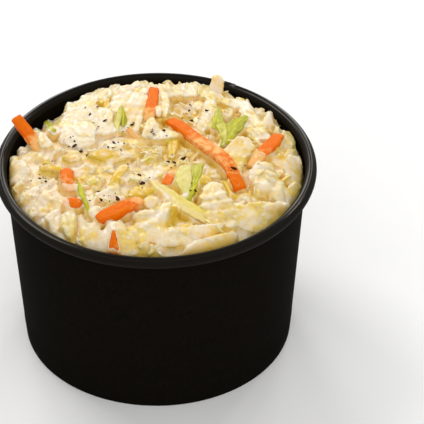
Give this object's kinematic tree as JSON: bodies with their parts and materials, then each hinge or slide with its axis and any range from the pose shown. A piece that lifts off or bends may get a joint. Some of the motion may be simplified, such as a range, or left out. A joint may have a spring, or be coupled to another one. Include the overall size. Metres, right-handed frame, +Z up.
{
  "type": "coleslaw in a paper tub",
  "caption": "Creamy coleslaw of cut white cabbage, carrot and pepper, heaped in a squat black paper tub with a rolled rim.",
  "frame": {"origin": "centre of the tub's foot, on the surface it stands on", "axes": "+Z up through the open mouth; the wall's seam is at the back right, 64 degrees from +X towards +Y"},
  "size_m": [0.098, 0.098, 0.0697],
  "materials": {
    "black_paper_wall": "satin black coated board, rolled rim",
    "black_paper_base": "satin black coated board, flat disc",
    "slaw": "wet cream dressing on cut cabbage, with carrot strips, green leaf and black pepper"
  },
  "bodies": {
    "root": {"tub_wall": "black_paper_wall", "tub_base": "black_paper_base", "coleslaw": "slaw"}
  },
  "joints": []
}
